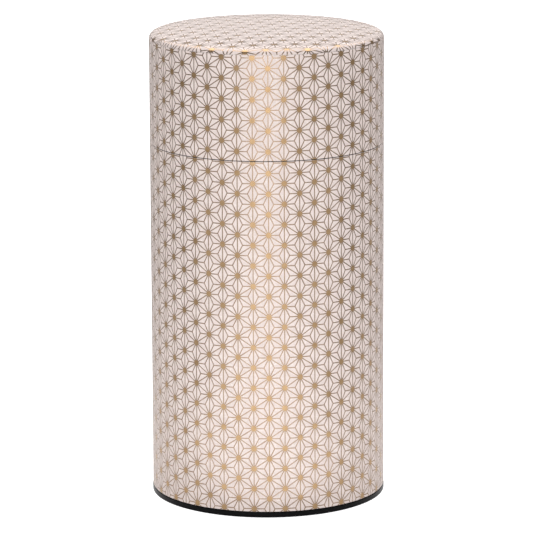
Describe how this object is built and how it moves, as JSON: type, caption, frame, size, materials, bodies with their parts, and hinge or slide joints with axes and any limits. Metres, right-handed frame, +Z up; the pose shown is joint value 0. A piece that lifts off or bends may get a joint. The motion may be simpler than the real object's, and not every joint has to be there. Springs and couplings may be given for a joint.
{
  "type": "paper-covered tea and coffee canister",
  "caption": "Tall round tinplate canister wrapped in off-white paper with a gold lattice print, with a flush slip-over lid, a black foot rim and a knobbed inner lid that seals the mouth.",
  "frame": {"origin": "centre of the foot ring, on the surface the canister stands on", "axes": "+Z up along the canister's axis, -Y towards the viewer, the paper's overlap at the back on +Y"},
  "size_m": [0.0803, 0.0802, 0.162],
  "materials": {
    "tinplate": "bright tinplate, drawn and rolled",
    "black_lacquer": "glossy black lacquer on tinplate",
    "sealing_compound": "dried can-sealing compound",
    "printed_paper": "off-white fibrous paper, satin",
    "gold_print": "gold metallic ink, satin",
    "rivet_steel": "plated steel"
  },
  "bodies": {
    "body": {"outer_shell": "tinplate", "inner_can": "tinplate", "inner_can_floor": "tinplate", "base_pan": "black_lacquer", "base_sealant": "sealing_compound", "body_paper": "printed_paper"},
    "lid": {"lid_band": "tinplate", "lid_crown": "tinplate", "lid_side_paper": "printed_paper", "lid_top_paper": "printed_paper"},
    "inner_lid": {"inner_lid_pan": "tinplate", "inner_lid_knob": "tinplate", "knob_washer": "rivet_steel", "knob_rivet": "rivet_steel"}
  },
  "joints": [
    {"name": "lid_lift", "type": "slide", "parent": "body", "child": "lid", "axis": [0, 0, 1], "range_m": [0, 0.11]},
    {"name": "inner_lid_lift", "type": "slide", "parent": "body", "child": "inner_lid", "axis": [0, 0, 1], "range_m": [0, 0.044]}
  ],
  "couplings": [
    {"joint": "inner_lid_lift", "follows": "lid_lift", "ratio": 0.4}
  ]
}
